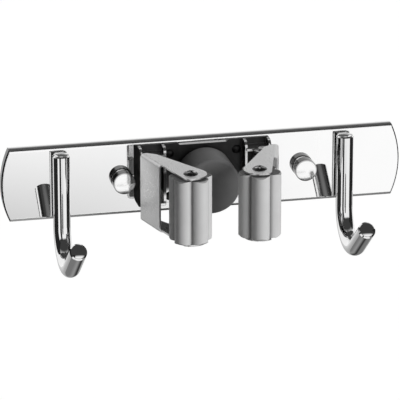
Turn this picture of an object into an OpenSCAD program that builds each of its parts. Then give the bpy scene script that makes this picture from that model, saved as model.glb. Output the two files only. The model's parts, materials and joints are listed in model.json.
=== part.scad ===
// Wall rack for mops and brooms: a mirror-polished plate with a sprung roller clamp between two hooks.
// X runs along the plate, the wall is the plane y = 0, the front of the rack faces -Y, and +Z is up.

/* [Wall plate] */
// Length of the plate from tip to tip
plate_len = 247.5; // [230:0.5:300]
// Height of the plate
plate_h = 46; // [43:0.2:52]
// Distance from the wall to the front face of the plate
plate_depth = 6; // [5.5:0.5:10]
// Thickness of the plate's sheet
plate_t = 1.2; // [0.8:0.1:1.6]
// Outside radius of the bends along the top and bottom edges
plate_bend_r = 2; // [2:0.1:4]
// How far each rounded end bulges past its corners
end_bulge = 5; // [3:0.5:12]
// Chamfer around the front of the rounded ends
end_chamfer = 0.8; // [0.4:0.1:1]

/* [Wall fixings] */
// Distance of the left fixing hole from the left side of the bracket
fix_left_gap = 9; // [7.6:0.1:30]
// Distance of the right fixing hole from the right side of the bracket
fix_right_gap = 22.4; // [7.6:0.1:30]
// Height of the fixing holes above the middle of the plate
fix_z = -0.7; // [-6:0.1:6]
// Radius of a fixing hole
fix_hole_r = 2.6; // [2:0.1:3]
// Radius of the base ring under a screw cap
base_r = 6.4; // [6.3:0.1:7.2]
// Thickness of the base ring
base_t = 1.4; // [1:0.1:3]
// Radius of the tubular spigot that a cap is pressed on
spigot_r = 4.8; // [4.5:0.1:5.2]
// Wall of the spigot, around a screw's head
spigot_wall = 0.8; // [0.6:0.1:1]
// Height of the spigot
spigot_h = 4; // [3:0.5:5]
// Radius of a screw cap
cap_r = 6.8; // [6.2:0.1:7.2]
// Height of a cap's straight side
cap_side = 6; // [5:0.5:10]
// Height of a cap's dome
cap_dome = 1.6; // [1:0.1:5]

/* [Hooks] */
// Distance of each hook from its end of the plate
hook_inset = 35.75; // [20:0.25:42]
// Radius of a hook's round bar
hook_r = 5.3; // [4:0.1:5.5]
// Height of a hook's upper end above the middle of the plate
hook_top = 19.6; // [17:0.2:21]
// Distance from the middle of the plate down to the start of the bend
hook_drop = 25; // [22:1:40]
// Radius of the bend at the middle of the bar
hook_bend_r = 20; // [12:1:26]
// Angle of the prong above the level
hook_rise = 39; // [20:1:60]
// Length of the straight prong
prong_len = 28.2; // [15:0.1:45]
// Chamfer at both ends of the bar
hook_chamfer = 0.8; // [0.3:0.1:1.5]
// Height of the crown on both ends of the bar
hook_crown = 0.7; // [0.3:0.1:1.2]
// Narrow flat between the chamfer and the crown
crown_flat = 0.2; // [0.1:0.1:0.5]
// Depth of the flat by which a hook seats on the plate
hook_flat = 0.5; // [0.3:0.1:1]
// Height of a hook's two screws above and below the middle of the plate
hook_screw_z = 11; // [8:0.5:13]
// Radius of a hook screw's shank
screw_r = 1.65; // [1.4:0.05:2]
// Radius of a hook screw's head
screw_head_r = 3.4; // [2.8:0.1:4]
// Height of a hook screw's head
screw_head_h = 2.2; // [1.5:0.1:3]
// Depth of a hook screw in the bar
screw_grip = 5; // [3:0.5:6]

/* [Clamp bracket] */
// Height of the clamp's middle above the middle of the plate
clamp_z = 0.8; // [0:0.1:1]
// Width of the bracket over its outer cheeks
bracket_w = 81.4; // [76:0.2:96]
// Height of the bracket above the clamp's middle
bracket_up = 20.3; // [18:0.1:21]
// Depth of the bracket below the clamp's middle
bracket_down = 17.7; // [17:0.1:21]
// Thickness of the bracket's sheet
bracket_t = 1.6; // [1.5:0.1:2.4]
// How far the cheeks stand out from the plate
cheek_out = 9.4; // [7:0.2:10]
// Radius of the cheeks' front corners
cheek_corner_r = 4; // [1:0.5:5]
// Distance from a pivot out to the outer face of the outer cheek
outer_cheek_gap = 6.3; // [6.2:0.1:7.5]
// Distance from a pivot in to the outer face of the inner cheek
inner_cheek_gap = 8.4; // [8.2:0.1:9]
// Space between the upper and the lower ear
ear_space = 29.2; // [26:0.2:30]
// Radius of an ear around its pivot pin
ear_r = 5.4; // [4.5:0.1:6]
// Width of the notch in the middle of the bracket's top and bottom edges
notch_w = 32; // [20:1:36]
// Depth of that notch
notch_d = 1.5; // [1:0.1:3]
// Distance of the bracket's rivets from the inner cheeks
rivet_gap = 3.6; // [3.2:0.1:4]
// Height of the bracket's rivets above and below the clamp's middle
rivet_z = 13.5; // [11:0.5:14]
// Radius of a rivet's shank
rivet_r = 1.6; // [1.2:0.1:2]
// Radius of a rivet's domed head
rivet_head_r = 2.8; // [2.4:0.1:3]
// Height of a rivet's head
rivet_head_h = 1.3; // [0.8:0.1:2]

/* [Clamp arms] */
// Distance of each pivot in front of the plate
pivot_out = 13.8; // [13:0.1:16]
// Height of an arm over its two flanges
arm_h = 42.4; // [41:0.2:50]
// Thickness of an arm's sheet
arm_t = 1.2; // [1:0.1:1.5]
// Outside radius of the bends between an arm's web and its flanges
arm_bend_r = 2; // [1.6:0.1:2.2]
// Angle by which the arms point towards each other
arm_toe = 15.6; // [12:0.2:17]
// Distance from the pivot to the roller's axis
arm_reach = 50.3; // [49:0.1:60]
// Distance from the pivot line to the web's outer face
web_off = 9.8; // [9:0.1:11]
// Distance from the pivot to the rear edge of the web
web_start = 4.3; // [4.2:0.1:6]
// Length of the web
web_len = 24.4; // [18:0.2:28]
// Width of a flange at its rear corner
flange_rear_w = 8.3; // [7:0.1:10]
// Slant of a flange's rear edge
flange_rear_rise = 4.9; // [2:0.1:7]
// Radius of a flange's round end
flange_end_r = 9.6; // [8:0.1:11]
// Setback of a flange's outer edge in front of the web
flange_setback = 2.4; // [2.3:0.1:4]
// Radius of a pivot pin
pivot_r = 2; // [1.8:0.05:2.2]
// Radius of a pivot pin's head
pivot_head_r = 3.4; // [3:0.1:4]
// Height of a pivot pin's head
pivot_head_h = 1.2; // [0.8:0.1:2]
// Outside radius of the knuckles around a pivot pin
knuckle_r = 3.6; // [3.3:0.1:3.8]
// Space between an arm's two knuckles, where the spring sits
knuckle_space = 11; // [10.8:0.1:13]
// Thickness of the heel that stops an arm against the bracket
heel_t = 2; // [1.5:0.1:2.5]

/* [Torsion springs] */
// Radius of the spring wire
wire_r = 0.6; // [0.4:0.05:0.65]
// Radius of the coil at the middle of the wire
coil_r = 3.4; // [3.2:0.05:3.5]
// Whole turns of the coil, besides the part turn between its legs
coil_turns = 5; // [3:1:5]
// Angle of the leg that bears on the bracket
leg_angle = 30; // [20:1:40]

/* [Rollers] */
// Number of lobes on a roller
lobes = 5; // [4:1:7]
// Radius of the circle on which the lobes' centres lie
lobe_ring_r = 7.6; // [7:0.1:8]
// Radius of a lobe
lobe_r = 5.5; // [5:0.1:5.6]
// Chamfer at the ends of a roller
roller_chamfer = 0.9; // [0.3:0.1:1.5]
// Radius of the bush inside a roller
bush_r = 4.2; // [3.6:0.1:5]
// Space between a roller's ends and the arm's flanges
roller_gap = 0.3; // [0.2:0.05:0.8]
// Radius of a roller's pin
roller_pin_r = 2.5; // [2:0.05:2.8]
// Radius of the pin's cross-recessed head
pin_head_r = 4.5; // [3.8:0.1:5]
// Height of that head
pin_head_h = 1.8; // [1.2:0.1:2.5]
// Radius of the riveted lower end of the pin
pin_foot_r = 3.4; // [3:0.1:4]
// Thickness of the washers beside a roller's bush
washer_t = 0.8; // [0.5:0.1:1.2]
// Turn of the left roller's lobes at rest
roller_turn_left = 27; // [0:1:72]
// Turn of the right roller's lobes at rest
roller_turn_right = -9; // [-36:1:36]

/* [Rest pad] */
// Space between the pad's edge and the line of a pivot
pad_gap = 17.1; // [16.8:0.1:20]
// Distance of the pad's face in front of the plate
pad_out = 29; // [22:0.5:30]
// Radius of the rounding around the pad's face
pad_edge_r = 1.6; // [0.5:0.1:3]
// Radius of the steel boss behind the pad
boss_r = 12; // [10:0.5:14]
// Thickness of the boss between bracket and pad
boss_t = 4; // [2:0.5:6]
// Radius of the boss's stud in the pad
stud_r = 5; // [3:0.1:7]
// Length of the stud in the pad
stud_len = 12; // [6:0.5:14]
// Radius of the boss's tail through bracket and plate
tail_r = 3; // [2:0.1:4]

/* [Hidden] */
$fn = 64;

// Clearances: sliding, running, of a shank in its hole, along an axis, between still and turning walls
slide_gap = 0.05;
run_gap = 0.05;
hole_gap = 0.35;
axial_gap = 0.2;
wall_gap = 0.3;
// How far a cut runs clear of a face, and how far joined pieces run into each other
clear = 1;
lap = 0.2;
// Space between a spring's coil and the knuckles, and between its leg and the bracket
coil_end_gap = 0.3;
leg_gap = 0.5;
// Rings of the spring's tube in one turn
turn_rings = 8;
// Segments of a quarter round in a sheet's profile
quarter_steps = 6;
// How much thinner a hook's bar is in its bend, and how far its straight ends run over the bend
bend_step = 0.03;
bend_lap = 0.6;

hook_x = plate_len / 2 - hook_inset;
bracket_side = bracket_w / 2;
pivot_x = bracket_side - outer_cheek_gap;
inner_cheek_x = pivot_x - inner_cheek_gap;
rivet_x = inner_cheek_x - bracket_t - rivet_gap;
pad_r = pivot_x - pad_gap;
fix_left_x = bracket_side + fix_left_gap;
fix_right_x = bracket_side + fix_right_gap;
washer_r = bush_r - wall_gap;
end_r = (plate_h * plate_h / 4 + end_bulge * end_bulge) / (2 * end_bulge);
hollow_depth = plate_depth - plate_t;
hook_axis_out = hook_r - hook_flat;
hook_bend_angle = 90 + hook_rise;
bracket_face = pivot_out - bracket_t;
ear_top = ear_space / 2 + bracket_t;
ear_w = outer_cheek_gap + inner_cheek_gap;
web_end = web_start + web_len;
flange_in = arm_h / 2 - arm_t;
roller_half = flange_in - roller_gap;
roller_r = lobe_ring_r + lobe_r;
steel = "lightsteelblue";
satin = "silver";
dark_steel = "dimgray";

// Points of an arc around a centre, from one angle to another
function arc(centre, r, from, to, steps) =
    [for (i = [0:steps]) let (a = from + (to - from) * i / steps) centre + r * [cos(a), sin(a)]];

// The angle, about its centre, at which a circle is touched by a line from a point, on the line's right
function tangent_angle(point, centre, r) =
    let (d = centre - point) atan2(d[1], d[0]) - 180 + acos(r / norm(d));

// Puts a shape that points along +Z on the front face of the plate, pointing at the viewer
module on_plate(x, z) {
    translate([x, -plate_depth, z])
        rotate([90, 0, 0])
            children();
}

// Places one side of the clamp: origin at the pivot, x towards the middle, y to the front
module clamp_side(dir) {
    if (dir < 0)
        mirror([1, 0, 0])
            clamp_side(1)
                children();
    else
        translate([pivot_x, -plate_depth - pivot_out, clamp_z])
            rotate(180)
                children();
}

// The same with y along the arm
module arm_frame(dir) {
    clamp_side(dir)
        rotate(-arm_toe)
            children();
}

// Extrudes an outline drawn in the plane of depth and height along the plate
module along_plate(length) {
    rotate([90, 0, 90])
        linear_extrude(length, center = true)
            children();
}

// Section of the plate: a back at y = 0 and rounded front edges
module plate_section(h, depth, r) {
    polygon(concat(
        [[0, -h / 2], [0, h / 2]],
        arc([r - depth, h / 2 - r], r, 90, 180, quarter_steps),
        arc([r - depth, r - h / 2], r, 180, 270, quarter_steps)
    ));
}

// What lies beyond the two round ends of radius r about the ends' centres, with a chamfer to the front
module beyond_ends(r, chamfer) {
    for (s = [-1, 1])
        on_plate(0, 0)
            difference() {
                translate([s * plate_len / 2 - 2 * end_bulge, -plate_h, -2 * plate_depth])
                    cube([4 * end_bulge, 2 * plate_h, 3 * plate_depth]);
                translate([s * (plate_len / 2 - end_r), 0, -3 * plate_depth])
                    cylinder(r = r, h = 3 * plate_depth - chamfer);
                translate([s * (plate_len / 2 - end_r), 0, -chamfer])
                    cylinder(r1 = r, r2 = r - 2 * plate_depth, h = 2 * plate_depth);
            }
}

module wall_plate() {
    color(steel)
        difference() {
            along_plate(plate_len + clear)
                plate_section(plate_h, plate_depth, plate_bend_r);
            difference() {
                translate([0, clear, 0])
                    along_plate(plate_len + clear)
                        plate_section(plate_h - 2 * plate_t, hollow_depth + clear, plate_bend_r - plate_t);
                beyond_ends(end_r - plate_t, 0);
            }
            beyond_ends(end_r, end_chamfer);
            for (x = [-fix_left_x, fix_right_x])
                on_plate(x, fix_z)
                    translate([0, 0, -plate_depth])
                        cylinder(r = fix_hole_r, h = 2 * plate_depth);
            for (x = [-hook_x, hook_x], z = [-hook_screw_z, hook_screw_z])
                on_plate(x, z)
                    translate([0, 0, -plate_depth])
                        cylinder(r = screw_r + hole_gap, h = 2 * plate_depth);
            for (x = [-rivet_x, rivet_x], z = [-rivet_z, rivet_z])
                on_plate(x, clamp_z + z)
                    translate([0, 0, -plate_depth])
                        cylinder(r = rivet_r, h = 2 * plate_depth);
            on_plate(0, clamp_z)
                translate([0, 0, -plate_depth])
                    cylinder(r = tail_r, h = 2 * plate_depth);
        }
}

// Part of a sphere that rises to a height over a round edge
module dome(r, h) {
    ball_r = (r * r + h * h) / (2 * h);
    intersection() {
        translate([0, 0, h - ball_r])
            sphere(ball_r);
        translate([-ball_r, -ball_r, 0])
            cube(2 * ball_r);
    }
}

// Straight bar along +Z with a chamfered and crowned end
module chamfered_bar(length) {
    cylinder(r = hook_r, h = length - hook_chamfer);
    translate([0, 0, length - hook_chamfer])
        cylinder(r1 = hook_r, r2 = hook_r - hook_chamfer, h = hook_chamfer);
    translate([0, 0, length])
        dome(hook_r - hook_chamfer - crown_flat, hook_crown);
}

// A bent hook: y to the front, origin on the stem's axis at the middle of the plate
module bent_hook() {
    difference() {
        translate([0, 0, -hook_drop - bend_lap])
            chamfered_bar(hook_drop + hook_top + bend_lap);
        translate([-2 * hook_r, -hook_axis_out - 2 * hook_r, plate_bend_r - plate_h / 2])
            cube([4 * hook_r, 2 * hook_r, 2 * plate_h]);
        for (z = [-hook_screw_z, hook_screw_z])
            translate([0, -2 * hook_r, z])
                rotate([-90, 0, 0])
                    cylinder(r = screw_r, h = 2 * hook_r - hook_axis_out + screw_grip);
    }
    translate([0, hook_bend_r, -hook_drop]) {
        rotate([180, 0, 0])
            rotate([90, 0, 90])
                rotate_extrude(angle = hook_bend_angle)
                    translate([hook_bend_r, 0])
                        circle(hook_r - bend_step);
        rotate([hook_bend_angle - 180, 0, 0])
            translate([0, hook_bend_r, -bend_lap])
                chamfered_bar(prong_len + bend_lap);
    }
}

module hook(x) {
    color("gainsboro")
        translate([x, -plate_depth - hook_axis_out, 0])
            rotate(180)
                bent_hook();
}

module hook_left() {
    hook(-hook_x);
}

module hook_right() {
    hook(hook_x);
}

// Pan-head screws from the hollow of the plate into the hooks
module hook_screws() {
    color(dark_steel)
        for (x = [-hook_x, hook_x], z = [-hook_screw_z, hook_screw_z])
            on_plate(x, z) {
                translate([0, 0, -plate_t])
                    cylinder(r = screw_r, h = plate_t + screw_grip);
                translate([0, 0, -plate_t - screw_head_h])
                    cylinder(r1 = screw_head_r - screw_head_h / 4, r2 = screw_head_r, h = screw_head_h);
            }
}

module cap_base(x) {
    color(steel)
        on_plate(x, fix_z)
            difference() {
                union() {
                    cylinder(r = base_r, h = base_t);
                    cylinder(r = spigot_r, h = base_t + spigot_h);
                }
                translate([0, 0, -clear])
                    cylinder(r = fix_hole_r + 2 * hole_gap, h = base_t + 2 * clear);
                translate([0, 0, base_t])
                    cylinder(r = spigot_r - spigot_wall, h = spigot_h + clear);
            }
}

module cap_base_left() {
    cap_base(-fix_left_x);
}

module cap_base_right() {
    cap_base(fix_right_x);
}

// Domed cap with a pocket for the spigot
module cap(x) {
    dome_r = (cap_r * cap_r + cap_dome * cap_dome) / (2 * cap_dome);
    color("white")
        on_plate(x, fix_z)
            translate([0, 0, base_t])
                difference() {
                    intersection() {
                        cylinder(r = cap_r, h = cap_side + cap_dome + clear);
                        translate([0, 0, cap_side + cap_dome - dome_r])
                            sphere(dome_r);
                        translate([-cap_r, -cap_r, 0])
                            cube(2 * (cap_r + cap_side));
                    }
                    translate([0, 0, -clear])
                        cylinder(r = spigot_r + slide_gap, h = clear + spigot_h + slide_gap);
                }
}

module cap_left() {
    cap(-fix_left_x);
}

module cap_right() {
    cap(fix_right_x);
}

// Outline of the bracket's back: square corners, and a notch above and below the pad
module bracket_back_outline() {
    w = bracket_side;
    n = notch_w / 2;
    top = bracket_up - notch_d;
    bottom = notch_d - bracket_down;
    polygon([
        [-w, -bracket_down], [-n, -bracket_down], [notch_d - n, bottom],
        [n - notch_d, bottom], [n, -bracket_down], [w, -bracket_down],
        [w, bracket_up], [n, bracket_up], [n - notch_d, top],
        [notch_d - n, top], [-n, bracket_up], [-w, bracket_up]
    ]);
}

// A cheek from x = 0 to the sheet's thickness, y to the front, with round front corners
module cheek() {
    r = cheek_corner_r;
    translate([0, -pivot_out, 0])
        rotate([90, 0, 90])
            linear_extrude(bracket_t)
                polygon(concat(
                    [[0, bracket_up], [0, -bracket_down]],
                    arc([cheek_out - r, r - bracket_down], r, -90, 0, quarter_steps),
                    arc([cheek_out - r, bracket_up - r], r, 0, 90, quarter_steps)
                ));
}

// Outline of an ear, from the back plate to the round about the pivot
module ear_outline() {
    circle(ear_r);
    translate([bracket_t / 2 - outer_cheek_gap, -bracket_face - bracket_t / 2])
        square([ear_w, bracket_face + bracket_t / 2 - ear_r / 2]);
}

module bracket() {
    color(dark_steel)
        difference() {
            union() {
                on_plate(0, clamp_z)
                    linear_extrude(bracket_t)
                        bracket_back_outline();
                for (dir = [-1, 1])
                    clamp_side(dir) {
                        translate([-outer_cheek_gap, 0, 0])
                            cheek();
                        translate([inner_cheek_gap, 0, 0])
                            cheek();
                        for (z = [-ear_top, ear_space / 2])
                            translate([0, 0, z])
                                linear_extrude(bracket_t)
                                    ear_outline();
                    }
            }
            for (dir = [-1, 1])
                clamp_side(dir)
                    cylinder(r = pivot_r, h = 3 * ear_top, center = true);
            for (x = [-rivet_x, rivet_x], z = [-rivet_z, rivet_z])
                on_plate(x, clamp_z + z)
                    translate([0, 0, -clear])
                        cylinder(r = rivet_r, h = bracket_t + 2 * clear);
            on_plate(0, clamp_z)
                translate([0, 0, -clear])
                    cylinder(r = tail_r, h = bracket_t + 2 * clear);
        }
}

// Rivets through bracket and plate, with domed heads in front and flat tails behind
module bracket_rivets() {
    color("gainsboro")
        for (x = [-rivet_x, rivet_x], z = [-rivet_z, rivet_z])
            on_plate(x, clamp_z + z) {
                translate([0, 0, -plate_t])
                    cylinder(r = rivet_r, h = plate_t + bracket_t);
                translate([0, 0, bracket_t])
                    dome(rivet_head_r, rivet_head_h);
                translate([0, 0, -plate_t - rivet_head_h])
                    cylinder(r = rivet_head_r, h = rivet_head_h);
            }
}

// Steel boss that carries the pad, riveted through bracket and plate
module pad_boss() {
    color(dark_steel)
        on_plate(0, clamp_z) {
            translate([0, 0, bracket_t])
                cylinder(r = boss_r, h = boss_t);
            translate([0, 0, bracket_t])
                cylinder(r = stud_r, h = boss_t + stud_len);
            translate([0, 0, -plate_t])
                cylinder(r = tail_r, h = plate_t + bracket_t + clear);
            translate([0, 0, -plate_t - rivet_head_h])
                cylinder(r = tail_r + rivet_head_h, h = rivet_head_h);
        }
}

// Rubber pad that a handle rests against
module pad() {
    back = bracket_t + boss_t;
    color([0.25, 0.25, 0.26])
        on_plate(0, clamp_z)
            rotate_extrude()
                polygon(concat(
                    [[0, pad_out], [0, back + stud_len], [stud_r, back + stud_len]],
                    [[stud_r, back], [pad_r, back]],
                    arc([pad_r - pad_edge_r, pad_out - pad_edge_r], pad_edge_r, 0, 90, quarter_steps)
                ));
}

module pivot_pin(dir) {
    groove = pivot_head_h / 2;
    color("gainsboro")
        clamp_side(dir)
            difference() {
                union() {
                    translate([0, 0, -ear_top - 2 * pivot_head_h])
                        cylinder(r = pivot_r, h = 2 * ear_top + 2 * pivot_head_h);
                    translate([0, 0, ear_top])
                        cylinder(r1 = pivot_head_r, r2 = pivot_head_r - pivot_head_h / 2, h = pivot_head_h);
                }
                translate([0, 0, -ear_top - pivot_head_h])
                    difference() {
                        cylinder(r = 2 * pivot_r, h = pivot_head_h);
                        translate([0, 0, -clear])
                            cylinder(r = pivot_r - groove, h = pivot_head_h + 2 * clear);
                    }
            }
}

module pivot_pin_left() {
    pivot_pin(-1);
}

module pivot_pin_right() {
    pivot_pin(1);
}

// Spring clips in the grooves at the lower ends of the pivot pins
module pivot_clips() {
    inner = pivot_r - pivot_head_h / 2;
    mouth = 1.6 * inner;
    color("gray")
        for (dir = [-1, 1])
            clamp_side(dir)
                translate([0, 0, -ear_top - pivot_head_h])
                    linear_extrude(pivot_head_h)
                        difference() {
                            circle(pivot_head_r);
                            circle(inner);
                            translate([-mouth / 2, 0])
                                square([mouth, pivot_head_r + clear]);
                        }
}

// Section of an arm: a web on the outside, and two flanges towards the middle
module arm_section() {
    h = arm_h / 2;
    r = arm_bend_r;
    reach = flange_end_r + clear;
    polygon(concat(
        [[reach, -h]],
        arc([r - web_off, r - h], r, 270, 180, quarter_steps),
        arc([r - web_off, h - r], r, 180, 90, quarter_steps),
        [[reach, h], [reach, h - arm_t]],
        arc([r - web_off, h - r], r - arm_t, 90, 180, quarter_steps),
        arc([r - web_off, r - h], r - arm_t, 180, 270, quarter_steps),
        [[reach, arm_t - h]]
    ));
}

// Outline of a flange, from the rear edge round the roller's axis and back to the web
module flange_outline() {
    axis = [0, arm_reach];
    corner = [flange_rear_w - web_off, web_start + flange_rear_rise];
    edge_x = flange_setback - web_off;
    turn_in = tangent_angle(corner, axis, flange_end_r);
    turn_out = acos(edge_x / flange_end_r);
    polygon(concat(
        [
            [-web_off - clear, web_end], [-web_off - clear, web_start],
            [flange_rear_w / 2 - web_off, web_start], corner
        ],
        arc(axis, flange_end_r, turn_in, turn_out, 4 * quarter_steps),
        [[edge_x, web_end]]
    ));
}

module arm(dir) {
    knuckle_h = (ear_space - knuckle_space) / 2 - axial_gap;
    strap_x = arm_t / 2 - web_off;
    strap_y = web_start + lap;
    color(satin)
        difference() {
            union() {
                arm_frame(dir)
                    intersection() {
                        translate([0, arm_reach + 2 * flange_end_r, 0])
                            rotate([90, 0, 0])
                                linear_extrude(arm_reach + 2 * flange_end_r)
                                    arm_section();
                        translate([0, 0, -arm_h])
                            linear_extrude(2 * arm_h)
                                flange_outline();
                    }
                for (z = [knuckle_space / 2, -knuckle_space / 2 - knuckle_h])
                    translate([0, 0, z]) {
                        arm_frame(dir)
                            translate([0, 0, lap])
                                linear_extrude(knuckle_h - 2 * lap)
                                    polygon([
                                        [strap_x, strap_y], [strap_x, strap_y + 2 * arm_t],
                                        [0, knuckle_r - lap / 2], [0, pivot_r + lap]
                                    ]);
                        clamp_side(dir) {
                            cylinder(r = knuckle_r, h = knuckle_h);
                            translate([knuckle_r - heel_t - lap, -bracket_face, 0])
                                cube([heel_t, bracket_face - pivot_r / 2, knuckle_h]);
                        }
                    }
            }
            clamp_side(dir)
                cylinder(r = pivot_r + run_gap, h = arm_h - 4 * arm_t, center = true);
            arm_frame(dir)
                translate([0, arm_reach, 0])
                    cylinder(r = roller_pin_r, h = 2 * arm_h, center = true);
        }
}

module arm_left() {
    arm(-1);
}

module arm_right() {
    arm(1);
}

// Middle line of a spring: a leg on the bracket, the coil, and a leg behind the arm's web
function spring_path() =
    let (
        start = -leg_angle,
        sweep = 360 * coil_turns + 90 - arm_toe + leg_angle,
        low = wire_r + coil_end_gap - knuckle_space / 2,
        rise = -2 * low,
        steps = ceil(turn_rings * sweep / 360),
        first = coil_r * [cos(start), sin(start)],
        bearing = (bracket_face - wire_r - leg_gap + first[1]) / cos(leg_angle),
        last = coil_r * [sin(arm_toe), cos(arm_toe)]
    ) concat(
        [for (t = [1, 0.5])
            [first[0] - t * bearing * sin(leg_angle), first[1] - t * bearing * cos(leg_angle), low]],
        [for (i = [0:steps]) let (a = start + sweep * i / steps)
            [coil_r * cos(a), coil_r * sin(a), low + rise * i / steps]],
        [for (t = [0.5, 1]) let (d = t * (web_off - arm_t / 2))
            [last[0] - d * cos(arm_toe), last[1] + d * sin(arm_toe), low + rise]]
    );

// Least distance between surfaces of a tube at points at least half a turn apart
function least_gap(path, r) =
    let (n = len(path), apart = turn_rings / 2 + 1)
    min([for (i = [0:n - 1], j = [i + apart:1:n - 1]) norm(path[i] - path[j])]) - 2 * r;

// A closed tube of six sides along a path that stays near the level
module tube(path, r) {
    n = len(path);
    sides = 6;
    points = [for (i = [0:n - 1])
        let (
            ahead = path[min(i + 1, n - 1)] - path[max(i - 1, 0)],
            side = cross([0, 0, 1], ahead) / norm(cross([0, 0, 1], ahead)),
            up = cross(ahead, side) / norm(ahead)
        )
        for (j = [0:sides - 1]) path[i] + r * (cos(360 * j / sides) * side + sin(360 * j / sides) * up)];
    walls = [for (i = [0:n - 2], j = [0:sides - 1])
        let (k = (j + 1) % sides, a = i * sides, b = a + sides)
        each [[a + j, b + j, b + k], [a + j, b + k, a + k]]];
    ends = [for (j = [1:sides - 2])
        each [[0, j, j + 1], [(n - 1) * sides, (n - 1) * sides + j + 1, (n - 1) * sides + j]]];
    polyhedron(points, concat(walls, ends));
}

module torsion_spring(dir) {
    path = spring_path();
    echo(str("least gap of the spring to itself, mm: ", least_gap(path, wire_r)));
    color("gray")
        clamp_side(dir)
            tube(path, wire_r);
}

module torsion_spring_left() {
    torsion_spring(-1);
}

module torsion_spring_right() {
    torsion_spring(1);
}

// Places a roller's axis: origin at mid height
module roller_axis(dir) {
    arm_frame(dir)
        translate([0, arm_reach, 0])
            children();
}

// Riveted pin with a low domed head and a cross recess
module roller_pin(dir) {
    slot_w = pin_head_r / 4;
    slot_l = pin_head_r * 1.2;
    color("gainsboro")
        roller_axis(dir) {
            cylinder(r = roller_pin_r, h = arm_h, center = true);
            translate([0, 0, arm_h / 2])
                difference() {
                    dome(pin_head_r, pin_head_h);
                    for (turn = [0, 90])
                        rotate(turn)
                            translate([-slot_l / 2, -slot_w / 2, pin_head_h / 3])
                                cube([slot_l, slot_w, pin_head_h]);
                }
            translate([0, 0, -arm_h / 2])
                mirror([0, 0, 1])
                    cylinder(r1 = pin_foot_r, r2 = roller_pin_r, h = arm_t);
        }
}

module roller_pin_left() {
    roller_pin(-1);
}

module roller_pin_right() {
    roller_pin(1);
}

// Washers between a roller's bush and the arm's flanges
module roller_washers(dir) {
    color("gray")
        roller_axis(dir)
            for (z = [flange_in - washer_t, -flange_in])
                translate([0, 0, z])
                    difference() {
                        cylinder(r = washer_r, h = washer_t);
                        translate([0, 0, -clear])
                            cylinder(r = roller_pin_r + slide_gap, h = washer_t + 2 * clear);
                    }
}

module roller_washers_left() {
    roller_washers(-1);
}

module roller_washers_right() {
    roller_washers(1);
}

// Plain bush that turns on the pin
module roller_bush(dir) {
    half = flange_in - washer_t - axial_gap;
    color("ivory")
        roller_axis(dir)
            difference() {
                cylinder(r = bush_r, h = 2 * half, center = true);
                cylinder(r = roller_pin_r + run_gap, h = 2 * half + clear, center = true);
            }
}

module roller_bush_left() {
    roller_bush(-1);
}

module roller_bush_right() {
    roller_bush(1);
}

// Lobed rubber roller around its bush, with one lobe turned from the front by the given angle
module roller(dir, turn) {
    straight = roller_half - roller_chamfer - lap;
    color([0.66, 0.66, 0.67])
        translate([
            dir * (pivot_x - arm_reach * sin(arm_toe)),
            -plate_depth - pivot_out - arm_reach * cos(arm_toe),
            clamp_z
        ])
            rotate(turn - 90)
                intersection() {
                    linear_extrude(2 * roller_half, center = true)
                        difference() {
                            union() {
                                circle(lobe_ring_r);
                                for (i = [0:lobes - 1])
                                    rotate(360 * i / lobes)
                                        translate([lobe_ring_r, 0])
                                            circle(lobe_r);
                            }
                            circle(bush_r);
                        }
                    union() {
                        cylinder(r = roller_r + clear, h = 2 * straight, center = true);
                        for (flip = [0, 1])
                            mirror([0, 0, flip])
                                translate([0, 0, straight])
                                    cylinder(
                                        r1 = roller_r + lap,
                                        r2 = roller_r - roller_chamfer,
                                        h = roller_half - straight
                                    );
                    }
                }
}

module roller_left() {
    roller(-1, roller_turn_left);
}

module roller_right() {
    roller(1, roller_turn_right);
}

wall_plate();
hook_left();
hook_right();
hook_screws();
cap_base_left();
cap_base_right();
cap_left();
cap_right();
bracket();
bracket_rivets();
pad_boss();
pad();
pivot_pin_left();
pivot_pin_right();
pivot_clips();
arm_left();
arm_right();
torsion_spring_left();
torsion_spring_right();
roller_pin_left();
roller_pin_right();
roller_washers_left();
roller_washers_right();
roller_bush_left();
roller_bush_right();
roller_left();
roller_right();
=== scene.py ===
"""Wall mop holder rack: finishes, smooth springs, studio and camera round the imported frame."""
import json
import math

import bpy
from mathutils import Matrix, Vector


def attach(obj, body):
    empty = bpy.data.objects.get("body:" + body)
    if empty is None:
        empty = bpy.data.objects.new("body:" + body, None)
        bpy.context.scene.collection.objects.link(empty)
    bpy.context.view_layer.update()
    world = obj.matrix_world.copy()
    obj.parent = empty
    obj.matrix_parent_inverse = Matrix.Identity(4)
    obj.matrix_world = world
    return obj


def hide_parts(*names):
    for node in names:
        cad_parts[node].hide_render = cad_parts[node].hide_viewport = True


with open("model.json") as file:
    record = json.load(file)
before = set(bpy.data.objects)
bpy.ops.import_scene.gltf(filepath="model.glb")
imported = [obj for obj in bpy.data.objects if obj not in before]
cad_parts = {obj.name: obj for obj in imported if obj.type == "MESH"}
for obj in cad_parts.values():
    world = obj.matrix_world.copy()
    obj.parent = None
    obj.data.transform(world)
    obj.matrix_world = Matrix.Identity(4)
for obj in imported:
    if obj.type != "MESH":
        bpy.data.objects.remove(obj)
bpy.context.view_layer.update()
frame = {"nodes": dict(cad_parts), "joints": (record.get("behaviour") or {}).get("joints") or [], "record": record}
nodes = frame["nodes"]
joint_at = {joint["name"]: joint["pos_m"] for joint in frame["joints"]}
scene = bpy.context.scene
scene.view_settings.view_transform = "Standard"

MM = 0.001
SIDES = {"left": -1, "right": 1}

# Radii of the edges that catch the light, in metres
RIM_EDGE_R = 0.0007
CAP_EDGE_R = 0.0006
RUBBER_EDGE_R = 0.0004
SHEET_EDGE_R = 0.0003
SMALL_EDGE_R = 0.0002
EDGE_SAMPLES = 6

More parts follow.
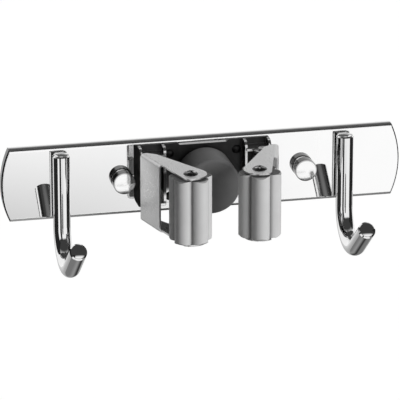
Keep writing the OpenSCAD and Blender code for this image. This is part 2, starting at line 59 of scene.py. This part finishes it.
# Places where a finish, painted shade or a painted highlight changes, in metres: where the change starts and where
# it is complete
RIM_FRONT = (-0.0016, -0.0024)
CHEEK_FRONT = (-0.0088, -0.0104)
CHEEK_UPPER = (0.004, 0.007)
BRACKET_INSIDE = (0.0403, 0.0396)
BRACKET_FOOT = (-0.007, -0.010)
ROLLER_GROOVE = (0.0110, 0.0094)

# The same for directions, as the surface normal's part along an axis
PLATE_BACK = (0.05, 0.35)
PLATE_RIM = (0.78, 0.90)
PLATE_ENDS = (0.55, 0.68)
CAP_DOME = (-0.35, -0.70)
CAP_RIM = (-0.925, -0.905)
PIN_HEAD = (0.86, 0.93)
PIN_MIDDLE = (0.20, 0.12)
PIN_TILT = 0.09
OFF_WEB = (0.10, 0.35)
OFF_FLANGE = (0.98, 0.88)
BRACKET_TOPS = (0.5, 0.8)
ROLLER_ENDS = (0.55, 0.85)
EDGE_TURN = (0.99, 0.80)

# The range that a noise pattern mostly stays in
NOISE_RANGE = (0.3, 0.7)

# How far the normals on a cap's dome lean to the front
DOME_LEAN = 1.5


# Shader nodes

def add(tree, kind, inputs=None, **props):
    """One node with its settings, values and links."""
    made = tree.nodes.new(kind)
    for key, value in props.items():
        setattr(made, key, value)
    for key, value in (inputs or {}).items():
        socket = made.inputs[key]
        if isinstance(value, bpy.types.NodeSocket):
            tree.links.new(value, socket)
        else:
            socket.default_value = value
    return made


def grey(level):
    return (level, level, level, 1.0)


def bare_material(name):
    """A node material with nothing but its output."""
    made = bpy.data.materials.new(name)
    made.use_nodes = True
    tree = made.node_tree
    tree.nodes.clear()
    return made, tree, tree.nodes.new("ShaderNodeOutputMaterial")


def material(name, metallic=1.0):
    """A node material with a Principled shader, a metal unless told otherwise."""
    made, tree, out = bare_material(name)
    shader = add(tree, "ShaderNodeBsdfPrincipled", {"Metallic": metallic})
    tree.links.new(shader.outputs["BSDF"], out.inputs["Surface"])
    return made, tree, shader


def connect(tree, shader, colour, roughness, normal):
    """Links a finish to its shader."""
    tree.links.new(colour, shader.inputs["Base Color"])
    tree.links.new(roughness, shader.inputs["Roughness"])
    tree.links.new(normal, shader.inputs["Normal"])


def coords(tree, scale=(1, 1, 1), offset=(0, 0, 0)):
    """Object coordinates, stretched, so a grain keeps its real size and moves with its piece."""
    where = add(tree, "ShaderNodeTexCoord")
    return add(
        tree, "ShaderNodeMapping",
        {"Vector": where.outputs["Object"], "Scale": scale, "Location": offset},
    ).outputs["Vector"]


def noise(tree, vector, scale, detail, rough=0.55):
    return add(
        tree, "ShaderNodeTexNoise",
        {"Vector": vector, "Scale": scale, "Detail": detail, "Roughness": rough},
    ).outputs["Fac"]


def remap(tree, value, low, high, to_low=0.0, to_high=1.0):
    return add(
        tree, "ShaderNodeMapRange",
        {"Value": value, "From Min": low, "From Max": high, "To Min": to_low, "To Max": to_high},
    ).outputs["Result"]


def spread(tree, pattern, low, high):
    """A noise pattern, spread over the given values."""
    return remap(tree, pattern, *NOISE_RANGE, low, high)


def maths(tree, operation, first, second=0.0):
    return add(tree, "ShaderNodeMath", {0: first, 1: second}, operation=operation).outputs["Value"]


def vectors(tree, operation, inputs, result="Vector"):
    return add(tree, "ShaderNodeVectorMath", inputs, operation=operation).outputs[result]


def blend_colour(tree, factor, first, second):
    inputs = {0: factor, 6: first, 7: second}
    return add(tree, "ShaderNodeMix", inputs, data_type="RGBA").outputs[2]


def blend_value(tree, factor, first, second):
    inputs = {0: factor, 2: first, 3: second}
    return add(tree, "ShaderNodeMix", inputs, data_type="FLOAT").outputs[0]


def bump(tree, height, strength, depth, normal=None):
    inputs = {"Height": height, "Strength": strength, "Distance": depth}
    if normal is not None:
        inputs["Normal"] = normal
    return add(tree, "ShaderNodeBump", inputs).outputs["Normal"]


def soften(tree, radius):
    """Normals rounded over the edges."""
    return add(tree, "ShaderNodeBevel", {"Radius": radius}, samples=EDGE_SAMPLES).outputs["Normal"]


def edge_mask(tree, soft):
    """1 on the edges, where the rounded normals leave the real ones."""
    sharp = add(tree, "ShaderNodeNewGeometry").outputs["Normal"]
    along = vectors(tree, "DOT_PRODUCT", {0: soft, 1: sharp}, "Value")
    return remap(tree, along, *EDGE_TURN)


def facing(tree, axis):
    """The surface normal's part along one axis of the frame."""
    normal = add(tree, "ShaderNodeNewGeometry").outputs["Normal"]
    return add(tree, "ShaderNodeSeparateXYZ", {"Vector": normal}).outputs[axis]


def facing_either(tree, axis):
    """The same without its sign."""
    return maths(tree, "ABSOLUTE", facing(tree, axis))


def place(tree, axis):
    """A point's place along one axis, in metres in the piece's own frame."""
    where = add(tree, "ShaderNodeTexCoord").outputs["Object"]
    return add(tree, "ShaderNodeSeparateXYZ", {"Vector": where}).outputs[axis]


# Finishes, several with painted shade and painted highlights

def mirror_steel():
    """Polished front with faint buffing lines, a milled back, and painted shade: the fold along the rim and the
    ends are coloured dark for their dark reflections.
    """
    made, tree, shader = material("polished_plate")
    soft = soften(tree, RIM_EDGE_R)
    lines = noise(tree, coords(tree, (40, 900, 900)), scale=1.0, detail=4.0)
    cloud = noise(tree, coords(tree), scale=28.0, detail=2.0)
    mill = noise(tree, coords(tree, (90, 1400, 1400)), scale=1.0, detail=5.0, rough=0.7)
    back = remap(tree, facing(tree, "Y"), *PLATE_BACK)
    rim = remap(tree, facing_either(tree, "Z"), *PLATE_RIM)
    # Painted shade: the folded rim's front and the plate's ends are coloured dark for the dark reflections that
    # they show
    fold = maths(tree, "MULTIPLY", rim, remap(tree, place(tree, "Y"), *RIM_FRONT))
    ends = remap(tree, facing_either(tree, "X"), *PLATE_ENDS)
    front_tone = blend_colour(tree, cloud, grey(0.93), grey(0.97))
    painted_shade_fold_tone = blend_colour(tree, mill, grey(0.09), grey(0.18))
    painted_shade_end_tone = blend_colour(tree, mill, grey(0.03), grey(0.08))
    back_tone = blend_colour(tree, mill, grey(0.30), grey(0.56))
    long_tone = blend_colour(tree, fold, front_tone, painted_shade_fold_tone)
    outer_tone = blend_colour(tree, ends, long_tone, painted_shade_end_tone)
    tone = blend_colour(tree, back, outer_tone, back_tone)
    front_rough = spread(tree, lines, 0.012, 0.04)
    rough = blend_value(tree, back, front_rough, spread(tree, mill, 0.30, 0.46))
    grain = bump(tree, lines, strength=0.006, depth=0.00002, normal=soft)
    connect(tree, shader, tone, rough, grain)
    return made


def bright_chrome():
    """Bright plating with a faint orange peel and fine polishing haze."""
    made, tree, shader = material("chrome")
    peel = noise(tree, coords(tree), scale=420.0, detail=2.0)
    haze = noise(tree, coords(tree), scale=95.0, detail=4.0)
    tone = blend_colour(tree, haze, grey(0.80), grey(0.88))
    grain = bump(tree, peel, strength=0.02, depth=0.00005)
    connect(tree, shader, tone, spread(tree, haze, 0.02, 0.06), grain)
    return made


def cap_chrome():
    """A screw cap's plating: bright dome polished nearly flat, with painted shade on its rim and on its turned
    side.
    """
    made, tree, shader = material("cap_chrome")
    soft = soften(tree, CAP_EDGE_R)
    haze = noise(tree, coords(tree), scale=95.0, detail=4.0)
    rings = noise(tree, coords(tree, (60, 2400, 60)), scale=1.0, detail=3.0)
    dome = remap(tree, facing(tree, "Y"), *CAP_DOME)
    rim = remap(tree, facing(tree, "Y"), *CAP_RIM)
    polished = blend_colour(tree, haze, grey(0.92), grey(0.97))
    # Painted shade: a grey ring round the dome's rim as an outline, and a dark turned side
    dome_tone = blend_colour(tree, rim, polished, grey(0.26))
    painted_shade_side_tone = blend_colour(tree, rings, grey(0.05), grey(0.16))
    tone = blend_colour(tree, dome, painted_shade_side_tone, dome_tone)
    side_rough = spread(tree, rings, 0.10, 0.22)
    rough = blend_value(tree, dome, side_rough, spread(tree, haze, 0.09, 0.15))
    lean = vectors(tree, "SCALE", {0: (0, -DOME_LEAN, 0), "Scale": dome})
    leant = vectors(tree, "ADD", {0: soft, 1: lean})
    flat = vectors(tree, "NORMALIZE", {0: leant})
    grain = bump(tree, haze, strength=0.02, depth=0.00005, normal=flat)
    connect(tree, shader, tone, rough, grain)
    return made


def pin_steel():
    """A roller pin's head, with a painted dark reflection over it and a painted highlight across its crown."""
    made, tree, shader = material("pin_steel")
    soft = soften(tree, SMALL_EDGE_R)
    speck = noise(tree, coords(tree), scale=1700.0, detail=3.0)
    blotch = noise(tree, coords(tree), scale=300.0, detail=4.0)
    # Painted highlight: a bright band across the crown for a lamp's reflection; the dark head round it is a
    # painted dark reflection
    high = remap(tree, facing(tree, "Z"), *PIN_HEAD)
    tilt = maths(tree, "ADD", facing(tree, "Y"), PIN_TILT)
    middle = remap(tree, maths(tree, "ABSOLUTE", tilt), *PIN_MIDDLE)
    crown = maths(tree, "MULTIPLY", high, middle)
    dark = blend_colour(tree, blotch, grey(0.030), grey(0.065))
    painted_glint_tone = blend_colour(tree, speck, grey(0.55), grey(0.75))
    head_tone = blend_colour(tree, crown, dark, painted_glint_tone)
    tone = blend_colour(tree, edge_mask(tree, soft), head_tone, grey(0.22))
    grain = bump(tree, speck, strength=0.06, depth=0.00003, normal=soft)
    connect(tree, shader, tone, spread(tree, blotch, 0.20, 0.34), grain)
    return made


def satin_steel():
    """Satin sheet: grain along the arm, faint blotches, bends painted darker to dim their reflection, and edges
    rubbed brighter.
    """
    made, tree, shader = material("satin_steel")
    soft = soften(tree, SHEET_EDGE_R)
    streak = noise(tree, coords(tree, (2400, 160, 2400)), scale=1.0, detail=5.0, rough=0.6)
    speck = noise(tree, coords(tree), scale=2600.0, detail=2.0)
    cloud = noise(tree, coords(tree), scale=60.0, detail=3.0)
    streak_share = maths(tree, "MULTIPLY", streak, 0.6)
    cloud_share = maths(tree, "MULTIPLY", cloud, 0.4)
    mixed = maths(tree, "ADD", streak_share, cloud_share)
    slope = facing_either(tree, "Z")
    # Painted shade: the bends between web and flanges are coloured darker to dim the bright line that they reflect
    painted_bend_shade = maths(tree, "MULTIPLY", remap(tree, slope, *OFF_WEB), remap(tree, slope, *OFF_FLANGE))
    flat_tone = blend_colour(tree, mixed, grey(0.65), grey(0.86))
    sheet_tone = blend_colour(tree, painted_bend_shade, flat_tone, grey(0.572))
    tone = blend_colour(tree, edge_mask(tree, soft), sheet_tone, grey(0.90))
    fine = maths(tree, "ADD", streak, speck)
    grain = bump(tree, fine, strength=0.05, depth=0.00003, normal=soft)
    connect(tree, shader, tone, spread(tree, streak, 0.25, 0.37), grain)
    return made


def bracket_steel():
    """Painted shade where the clamp shades it, darkest outside; painted highlights on the cheeks' front edges,
    tops and foot.
    """
    made, tree, shader = material("bracket_steel")
    soft = soften(tree, SHEET_EDGE_R)
    streak = noise(tree, coords(tree, (700, 700, 60)), scale=1.0, detail=5.0, rough=0.6)
    blotch = noise(tree, coords(tree), scale=130.0, detail=4.0)
    # Painted highlights on the cheeks' front edges, the tops and the foot; painted shade elsewhere, darkest
    # outside the cheeks
    ahead = remap(tree, place(tree, "Y"), *CHEEK_FRONT)
    high = remap(tree, place(tree, "Z"), *CHEEK_UPPER)
    inner = remap(tree, maths(tree, "ABSOLUTE", place(tree, "X")), *BRACKET_INSIDE)
    cheek = maths(tree, "MULTIPLY", maths(tree, "MULTIPLY", ahead, high), inner)
    tops = remap(tree, facing(tree, "Z"), *BRACKET_TOPS)
    foot = maths(tree, "MULTIPLY", remap(tree, place(tree, "Z"), *BRACKET_FOOT), inner)
    bright = maths(tree, "MAXIMUM", maths(tree, "MAXIMUM", cheek, tops), foot)
    shade_tone = blend_colour(tree, blotch, grey(0.045), grey(0.13))
    painted_shade_tone = blend_colour(tree, inner, grey(0.025), shade_tone)
    painted_highlight_tone = blend_colour(tree, streak, grey(0.74), grey(0.90))
    sheet_tone = blend_colour(tree, bright, painted_shade_tone, painted_highlight_tone)
    tone = blend_colour(tree, edge_mask(tree, soft), sheet_tone, grey(0.55))
    dark_rough = spread(tree, blotch, 0.38, 0.55)
    rough = blend_value(tree, bright, dark_rough, spread(tree, streak, 0.14, 0.24))
    grain = bump(tree, streak, strength=0.08, depth=0.00003, normal=soft)
    connect(tree, shader, tone, rough, grain)
    shader.inputs["Specular Tint"].default_value = grey(0.28)
    return made


def plated(name, low, high, rough):
    """Zinc plated or drawn steel: fine speckle, blotchy gloss and rubbed edges."""
    made, tree, shader = material(name)
    soft = soften(tree, SMALL_EDGE_R)
    speck = noise(tree, coords(tree), scale=1900.0, detail=3.0)
    blotch = noise(tree, coords(tree), scale=240.0, detail=4.0)
    plain_tone = blend_colour(tree, blotch, grey(low), grey(high))
    tone = blend_colour(tree, edge_mask(tree, soft), plain_tone, grey(min(high + 0.15, 0.9)))
    gloss = spread(tree, blotch, rough - 0.06, rough + 0.08)
    grain = bump(tree, speck, strength=0.08, depth=0.00003, normal=soft)
    connect(tree, shader, tone, gloss, grain)
    return made


def rubber(name, low, high, rough, skin_scale):
    """Moulded rubber or plastic: fine skin, faint bloom and slightly polished edges."""
    made, tree, shader = material(name, metallic=0.0)
    soft = soften(tree, RUBBER_EDGE_R)
    skin = noise(tree, coords(tree), scale=skin_scale, detail=4.0, rough=0.65)
    bloom = noise(tree, coords(tree), scale=85.0, detail=4.0)
    plain_tone = blend_colour(tree, bloom, grey(low), grey(high))
    tone = blend_colour(tree, edge_mask(tree, soft), plain_tone, grey(high * 1.35))
    gloss = spread(tree, skin, rough - 0.08, rough + 0.08)
    grain = bump(tree, skin, strength=0.22, depth=0.00006, normal=soft)
    connect(tree, shader, tone, gloss, grain)
    shader.inputs["Specular IOR Level"].default_value = 0.35
    return made


def roller_rubber(side):
    """Grey rubber with painted shade: darker in the grooves between the lobes and dark on the ends."""
    made, tree, shader = material("roller_rubber_" + side, metallic=0.0)
    soft = soften(tree, RUBBER_EDGE_R)
    axis = joint_at["roller_" + side + "_spin"]
    about = coords(tree, (1, 1, 0), (-axis[0], -axis[1], 0))
    # Painted shade in the grooves between the lobes, and on the ends, which the arms' flanges overhang
    groove = remap(tree, vectors(tree, "LENGTH", {0: about}, "Value"), *ROLLER_GROOVE)
    skin = noise(tree, coords(tree), scale=1500.0, detail=4.0, rough=0.65)
    bloom = noise(tree, coords(tree), scale=70.0, detail=4.0)
    ends = remap(tree, facing_either(tree, "Z"), *ROLLER_ENDS)
    clean = blend_colour(tree, bloom, grey(0.51), grey(0.59))
    painted_groove_shade = blend_colour(tree, groove, clean, grey(0.22))
    rubbed = blend_colour(tree, edge_mask(tree, soft), painted_groove_shade, grey(0.62))
    tone = blend_colour(tree, ends, rubbed, grey(0.07))
    grain = bump(tree, skin, strength=0.18, depth=0.00005, normal=soft)
    connect(tree, shader, tone, spread(tree, skin, 0.42, 0.58), grain)
    shader.inputs["Specular IOR Level"].default_value = 0.5
    return made


def dress(node, made):
    """Gives a solid its finish, in place of the plain one that it came with."""
    node.data.materials.clear()
    node.data.materials.append(made)


finishes = {
    "polished_plate": mirror_steel(),
    "chrome": bright_chrome(),
    "satin_steel": satin_steel(),
    "bracket_steel": bracket_steel(),
    "fastener_steel": plated("fastener_steel", low=0.42, high=0.60, rough=0.30),
    "spring_steel": plated("spring_steel", low=0.24, high=0.40, rough=0.28),
    "pad_rubber": rubber("pad_rubber", low=0.128, high=0.172, rough=0.55, skin_scale=1300.0),
    "bush_plastic": rubber("bush_plastic", low=0.03, high=0.05, rough=0.40, skin_scale=900.0),
}
for part in frame["record"]["subparts"]:
    if part["material_slot"] in finishes:
        dress(nodes[part["node"]], finishes[part["material_slot"]])
caps = cap_chrome()
pins = pin_steel()
for side in SIDES:
    dress(nodes["roller_" + side], roller_rubber(side))
    dress(nodes["roller_pin_" + side], pins)
    dress(nodes["cap_" + side], caps)
# Painted shade: the bracket's rivets are coloured near black for the clamp's shade over them
dress(nodes["bracket_rivets"], plated("painted_shade_rivets", low=0.03, high=0.06, rough=0.40))

# Folded sheets: the angle over which an edge is sharp, in degrees, the least part of a normal along an
# axis that makes its face square to the frame, and the distance within which points are joined, in metres
SHARP_ANGLE = 28
SQUARE_PART = 0.9995
WELD = 0.000002


def compare(group, operation, first, second):
    inputs = {0: first, 1: second}
    made = add(group, "FunctionNodeCompare", inputs, data_type="FLOAT", operation=operation)
    return made.outputs["Result"]


def smooth_bends():
    """A modifier that shades folded sheet as smooth bends: faces square to the frame stay flat, and
    edges over the sharp angle stay sharp."""
    group = bpy.data.node_groups.new("smooth_bends", "GeometryNodeTree")
    for way in ("INPUT", "OUTPUT"):
        group.interface.new_socket("Geometry", in_out=way, socket_type="NodeSocketGeometry")
    start = group.nodes.new("NodeGroupInput")
    end = group.nodes.new("NodeGroupOutput")
    plain = add(group, "GeometryNodeSetMeshNormal", mode="SHARPNESS")
    plain.inputs["Remove Custom"].default_value = True
    joined = add(group, "GeometryNodeMergeByDistance", {"Distance": WELD})
    angle = add(group, "GeometryNodeInputMeshEdgeAngle").outputs["Unsigned Angle"]
    sharp = compare(group, "GREATER_THAN", angle, math.radians(SHARP_ANGLE))
    normal = add(group, "GeometryNodeInputNormal").outputs["Normal"]
    ways = vectors(group, "ABSOLUTE", {0: normal})
    parts = add(group, "ShaderNodeSeparateXYZ", {"Vector": ways}).outputs
    most = maths(group, "MAXIMUM", maths(group, "MAXIMUM", parts["X"], parts["Y"]), parts["Z"])
    slant = compare(group, "LESS_THAN", most, SQUARE_PART)
    faces = add(group, "GeometryNodeSetShadeSmooth", {"Shade Smooth": slant}, domain="FACE")
    edge_inputs = {"Selection": sharp, "Shade Smooth": False}
    edges = add(group, "GeometryNodeSetShadeSmooth", edge_inputs, domain="EDGE")
    chain = [start, plain, joined, faces, edges, end]
    for first, second in zip(chain, chain[1:]):
        group.links.new(first.outputs[0], second.inputs[0])
    return group


bends = smooth_bends()
for name in ("wall_plate", "bracket", "arm_left", "arm_right"):
    nodes[name].modifiers.new("smooth_bends", "NODES").node_group = bends

# Springs: sizes that the smooth wires share with the solids, in millimetres and degrees
CLAMP_Z = 0.8
ARM_TOE = 15.6
WIRE_R = 0.6
COIL_R = 3.4
COIL_TURNS = 5
COIL_LOW = -4.6
COIL_RISE = 9.2
LEG_ANGLE = 30
LEG_BACK = 10.85
LEG_FRONT = 9.2

# How finely the wires are drawn
WIRE_SIDES = 16
STEPS_PER_TURN = 48
LEG_STEPS = 4


def new_object(name, verts, faces):
    """A mesh object in the scene."""
    mesh = bpy.data.meshes.new(name)
    mesh.from_pydata(verts, [], faces)
    made = bpy.data.objects.new(name, mesh)
    scene.collection.objects.link(made)
    return made


def tube(name, points, radius, sides):
    """A round wire along points, with closed ends, its rings carried along without twist."""
    verts, faces = [], []
    last = len(points) - 1
    side_way = None
    for i, point in enumerate(points):
        ahead = (points[min(i + 1, last)] - points[max(i - 1, 0)]).normalized()
        if side_way is None:
            side_way = ahead.orthogonal().normalized()
        side_way = (side_way - ahead * side_way.dot(ahead)).normalized()
        other = ahead.cross(side_way)
        for k in range(sides):
            turn = 2 * math.pi * k / sides
            verts.append(point + radius * (math.cos(turn) * side_way + math.sin(turn) * other))
    for i in range(last):
        low, high = i * sides, (i + 1) * sides
        for k in range(sides):
            nxt = (k + 1) % sides
            faces.append((low + k, low + nxt, high + nxt, high + k))
    faces.append(tuple(reversed(range(sides))))
    faces.append(tuple(last * sides + k for k in range(sides)))
    made = new_object(name, verts, faces)
    made.data.validate()
    for polygon in made.data.polygons:
        polygon.use_smooth = len(polygon.vertices) == 4
    return made


def spring_path():
    """The wire's middle line in the clamp's own frame, in millimetres: back leg, coil, front leg."""
    start = math.radians(-LEG_ANGLE)
    toe = math.radians(ARM_TOE)
    sweep = math.radians(360 * COIL_TURNS + 90 - ARM_TOE + LEG_ANGLE)
    steps = round(sweep / (2 * math.pi) * STEPS_PER_TURN)
    coil = []
    for i in range(steps + 1):
        turn = start + sweep * i / steps
        height = COIL_LOW + COIL_RISE * i / steps
        coil.append(Vector((COIL_R * math.cos(turn), COIL_R * math.sin(turn), height)))
    back = Vector((math.sin(start), -math.cos(start), 0)) * LEG_BACK
    front = Vector((-math.cos(toe), math.sin(toe), 0)) * LEG_FRONT
    shares = [(k + 1) / LEG_STEPS for k in range(LEG_STEPS)]
    leg_back = [coil[0] + back * share for share in reversed(shares)]
    leg_front = [coil[-1] + front * share for share in shares]
    return leg_back + coil + leg_front


for side, way in SIDES.items():
    pivot = Vector(joint_at["arm_" + side + "_swing"])
    line = [pivot + Vector((-way * p.x, -p.y, CLAMP_Z + p.z)) * MM for p in spring_path()]
    wire = tube("spring_wire_" + side, line, WIRE_R * MM, WIRE_SIDES)
    wire.data.materials.append(finishes["spring_steel"])
    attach(wire, "clamp_" + side)
    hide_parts("torsion_spring_" + side)

# Studio: white to the eye and in reflections, with a plain even light on the object
AMBIENT = 0.11
KEY = 3.1
KEY_AZ = 42
KEY_EL = 18
KEY_SPREAD = 30
FLOOR_Z = -0.50
FLOOR_R = 9.0
FLOOR_SIDES = 64
FLOOR_TONE = 0.60
FLOOR_GLOW = 0.76
CARD_R = 1.2
CARD_COLUMNS = 13
CARD_TOP = 0.9
CARD_FOOT = FLOOR_Z + 0.001
LOW_CARD = FLOOR_Z + 0.006
BLACK = 0.02


def seen_directly(tree):
    """1 for rays from the eye, from a reflection or through glass."""
    path = add(tree, "ShaderNodeLightPath").outputs
    pair = maths(tree, "MAXIMUM", path["Is Camera Ray"], path["Is Glossy Ray"])
    return maths(tree, "MAXIMUM", pair, path["Is Transmission Ray"])


def white_world():
    """White where it is seen directly, and a dimmer light from all sides elsewhere."""
    world = bpy.data.worlds.new("studio")
    world.use_nodes = True
    tree = world.node_tree
    tree.nodes.clear()
    out = tree.nodes.new("ShaderNodeOutputWorld")
    soft = add(tree, "ShaderNodeBackground", {"Color": grey(1.0), "Strength": AMBIENT})
    white = add(tree, "ShaderNodeBackground", {"Color": grey(1.0), "Strength": 1.0})
    choice = {0: seen_directly(tree), 1: soft.outputs[0], 2: white.outputs[0]}
    both = add(tree, "ShaderNodeMixShader", choice)
    tree.links.new(both.outputs[0], out.inputs["Surface"])
    scene.world = world


def heading(azimuth, elevation):
    """A direction from the object: azimuth 0 is straight in front, positive to the right."""
    a, e = math.radians(azimuth), math.radians(elevation)
    return Vector((math.sin(a) * math.cos(e), -math.cos(a) * math.cos(e), math.sin(e)))


def key_light():
    """A broad sun, which reflections don't show."""
    data = bpy.data.lights.new("key", "SUN")
    data.energy = KEY
    data.angle = math.radians(KEY_SPREAD)
    made = bpy.data.objects.new("key", data)
    made.rotation_mode = "QUATERNION"
    made.rotation_quaternion = heading(KEY_AZ, KEY_EL).to_track_quat("Z", "Y")
    made.visible_glossy = False
    scene.collection.objects.link(made)


def floor():
    """A round pale floor that glows to the eye and keeps the object's shadow."""
    turns = [2 * math.pi * k / FLOOR_SIDES for k in range(FLOOR_SIDES)]
    ring = [(FLOOR_R * math.cos(turn), FLOOR_R * math.sin(turn), FLOOR_Z) for turn in turns]
    made = new_object("floor", ring, [tuple(range(FLOOR_SIDES))])
    look, tree, out = bare_material("floor")
    plain = add(tree, "ShaderNodeBsdfDiffuse", {"Color": grey(FLOOR_TONE)})
    strength = maths(tree, "MULTIPLY", seen_directly(tree), FLOOR_GLOW)
    glow = add(tree, "ShaderNodeEmission", {"Color": grey(1.0), "Strength": strength})
    both = add(tree, "ShaderNodeAddShader", {0: plain.outputs[0], 1: glow.outputs[0]})
    tree.links.new(both.outputs[0], out.inputs["Surface"])
    made.data.materials.append(look)


def card(name, verts, faces, tone, fades=(), far=1.0):
    """A card of the studio, which only reflections show. Each fade runs along an axis, from the place
    where the card has its tone to the place where it has the far tone."""
    made = new_object(name, verts, faces)
    look, tree, out = bare_material(name)
    colour = grey(tone)
    near = None
    for axis, near_at, far_at in fades:
        step = remap(tree, place(tree, axis), near_at, far_at, to_low=1.0, to_high=0.0)
        near = step if near is None else maths(tree, "MULTIPLY", near, step)
    if near is not None:
        colour = blend_colour(tree, near, grey(far), grey(tone))
    dim = add(tree, "ShaderNodeEmission", {"Color": colour, "Strength": 1.0})
    tree.links.new(dim.outputs[0], out.inputs["Surface"])
    made.data.materials.append(look)
    for kind in ("camera", "diffuse", "transmission", "shadow", "volume_scatter"):
        setattr(made, "visible_" + kind, False)


def upright_card(name, az, z, tone):
    """A card that stands on an arc round the object, between two azimuths and two heights."""
    verts, faces = [], []
    for i in range(CARD_COLUMNS):
        foot = heading(az[0] + (az[1] - az[0]) * i / (CARD_COLUMNS - 1), 0) * CARD_R
        verts += [foot + Vector((0, 0, z[0])), foot + Vector((0, 0, z[1]))]
    for i in range(CARD_COLUMNS - 1):
        faces.append((2 * i, 2 * i + 2, 2 * i + 3, 2 * i + 1))
    card(name, verts, faces, tone)


def level_card(name, z, x, y, tone, fades, far=1.0):
    """A card that lies over or under the object."""
    corners = [(x[0], y[0], z), (x[1], y[0], z), (x[1], y[1], z), (x[0], y[1], z)]
    card(name, corners, [(0, 1, 2, 3)], tone, fades, far)


def front_card(name, y, x, z, tone, fades):
    """A card that faces the object from the front."""
    corners = [(x[0], y, z[0]), (x[1], y, z[0]), (x[1], y, z[1]), (x[0], y, z[1])]
    card(name, corners, [(0, 1, 2, 3)], tone, fades)


def cards():
    """What the polished pieces reflect, apart from the white studio. Places are in metres."""
    # Dark above, for the hooks' tips and bends
    fades = [("Y", -1.2, -1.7), ("Y", 0.0, 0.7)]
    level_card("card_above", z=CARD_TOP, x=(-1.6, 1.6), y=(-1.7, 0.7), tone=0.05, fades=fades)
    # Dark grey below with a darker and a lighter band, and a paler card behind them
    wide = (-1.25, 1.25)
    deep = (-0.75, 0.5)
    fades = [("X", 0.085, 0.025), ("X", 0.125, 0.19)]
    level_card("card_below", z=LOW_CARD, x=wide, y=deep, tone=0.04, fades=fades, far=0.20)
    fades = [("X", -0.05, -0.16), ("X", -0.01, 0.02)]
    band = (-0.16, 0.02)
    above = LOW_CARD + 0.001
    level_card("card_below_light", z=above, x=band, y=deep, tone=0.30, fades=fades, far=0.20)
    fades = [("Y", 0.6, 1.7)]
    level_card("card_behind", z=LOW_CARD, x=wide, y=(0.5, 1.7), tone=0.42, fades=fades, far=0.80)
    # Black on three sides, for the dark lines down the hooks' stems
    tall = (CARD_FOOT, CARD_TOP)
    upright_card("card_camera", az=(-36, -15), z=tall, tone=BLACK)
    upright_card("card_left", az=(-122, -58), z=tall, tone=BLACK)
    upright_card("card_right", az=(56, 112), z=tall, tone=BLACK)
    # For the left arm's web, the arms' flanges and the hooks' crowns
    upright_card("card_web", az=(-150, -122), z=(-0.49, -0.30), tone=0.66)
    upright_card("card_sky", az=(145, 195), z=(0.22, 0.60), tone=0.82)
    upright_card("card_crown", az=(150, 186), z=(0.60, 1.50), tone=0.12)
    # For the soft grey on the plate
    fades = [("X", 0.05, 0.38), ("X", 0.05, -0.28), ("Z", -0.46, -0.365)]
    front_card("card_front", y=-CARD_R, x=(-0.28, 0.38), z=(-0.495, -0.36), tone=0.62, fades=fades)


white_world()
key_light()
floor()
cards()

# Camera: the photograph's viewing angle, fitted to the plate's corners and the hooks
VIEW_AZ = -12.46
VIEW_EL = 19.0
VIEW_DISTANCE = 2.2
FOCAL_PX = 3610.0
FRAME_PX = 400.0
SENSOR = 36.0
ORIGIN_PX = (200.3, 169.65)
CLIP_NEAR = 0.05
CLIP_FAR = 50.0


def camera():
    """Aims beside the frame's origin, so that the origin lies on its pixel in the photograph."""
    data = bpy.data.cameras.new("camera")
    data.sensor_width = SENSOR
    data.lens = FOCAL_PX * SENSOR / FRAME_PX
    data.clip_start = CLIP_NEAR
    data.clip_end = CLIP_FAR
    made = bpy.data.objects.new("camera", data)
    scene.collection.objects.link(made)
    back = heading(VIEW_AZ, VIEW_EL)
    right = Vector((math.cos(math.radians(VIEW_AZ)), math.sin(math.radians(VIEW_AZ)), 0))
    up = back.cross(right)
    px = VIEW_DISTANCE / FOCAL_PX
    aim = right * (FRAME_PX / 2 - ORIGIN_PX[0]) * px - up * (FRAME_PX / 2 - ORIGIN_PX[1]) * px
    made.location = back * VIEW_DISTANCE
    made.rotation_mode = "QUATERNION"
    made.rotation_quaternion = (aim - made.location).to_track_quat("-Z", "Y")
    scene.camera = made


camera()
